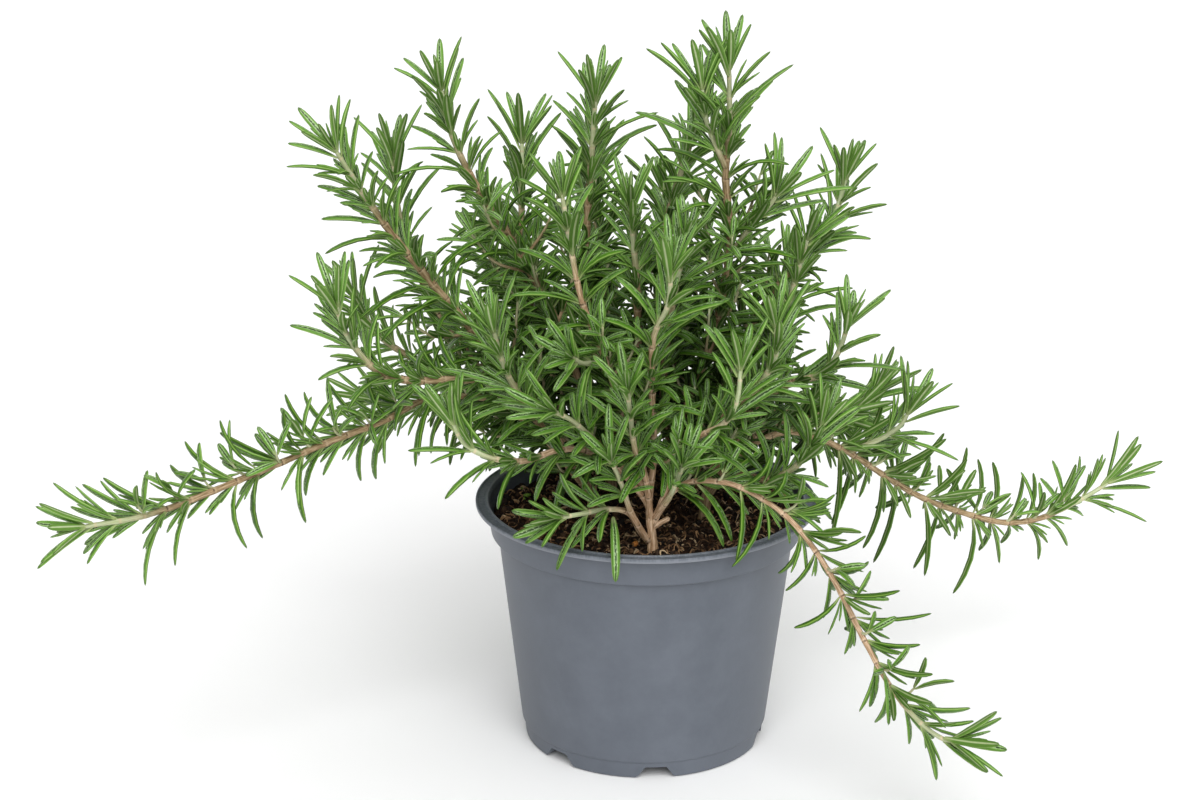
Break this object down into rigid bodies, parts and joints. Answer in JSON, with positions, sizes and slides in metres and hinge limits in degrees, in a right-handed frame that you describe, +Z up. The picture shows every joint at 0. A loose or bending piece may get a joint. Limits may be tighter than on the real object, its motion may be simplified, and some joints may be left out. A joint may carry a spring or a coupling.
{
  "type": "potted rosemary plant",
  "caption": "Rosemary growing in a tapered nursery pot, with bushy upright stems of slim needles and long side stems that trail past the rim.",
  "frame": {"origin": "middle of the pot's foot, on the surface that it stands on, which is also the middle of the whole plant's outline seen from above", "axes": "+Z up along the pot's axis, +X towards the long stem that trails to the right of the picture, -Y towards the picture's camera"},
  "size_m": [0.4328, 0.2247, 0.2828],
  "materials": {
    "pot": "moulded matt blue-grey plastic with a fine grain and a smooth, slightly glossier rim",
    "soil": "moist dark potting soil with fibres, bark bits and pale crumbs",
    "bark": "thin brown woody bark, faintly ridged along the stem",
    "leaf": "waxy dark green needles with a lighter middle line and pale underside"
  },
  "bodies": {
    "root": {"pot": "pot", "soil": "soil", "trunk_front": "bark", "trunk_left": "bark", "trunk_right": "bark", "trunk_back_left": "bark", "trunk_back_right": "bark", "stem_front_low": "leaf", "stem_front_centre_tall": "leaf", "stem_front_centre": "leaf", "stem_left_low": "leaf", "stem_front_right": "leaf", "stem_right_drooping": "leaf", "stem_front_rosette_left": "leaf", "stem_front_rosette_middle": "leaf", "stem_front_rosette_low": "leaf", "stem_front_rosette_right": "leaf", "stem_left_upper": "leaf", "stem_left_middle": "leaf", "stem_left_trailing": "leaf", "stem_left_inner": "leaf", "stem_left_back": "leaf", "stem_right_middle": "leaf", "stem_right_trailing": "leaf", "stem_right_low": "leaf", "stem_right_front": "leaf", "stem_right_back": "leaf", "stem_right_inner": "leaf", "stem_left_upper_back": "leaf", "stem_left_tall": "leaf", "stem_left_slim": "leaf", "stem_centre_tall": "leaf", "stem_centre_inner": "leaf", "stem_back_left_middle": "leaf", "stem_back_left_tall": "leaf", "stem_back_left_low": "leaf", "stem_right_tall": "leaf", "stem_right_back_tall": "leaf", "stem_right_upper": "leaf", "stem_right_centre_inner": "leaf", "stem_back_right_middle": "leaf", "stem_back_right_tall": "leaf", "stem_back_right_low": "leaf", "stem_back_drooping": "leaf"}
  },
  "joints": []
}
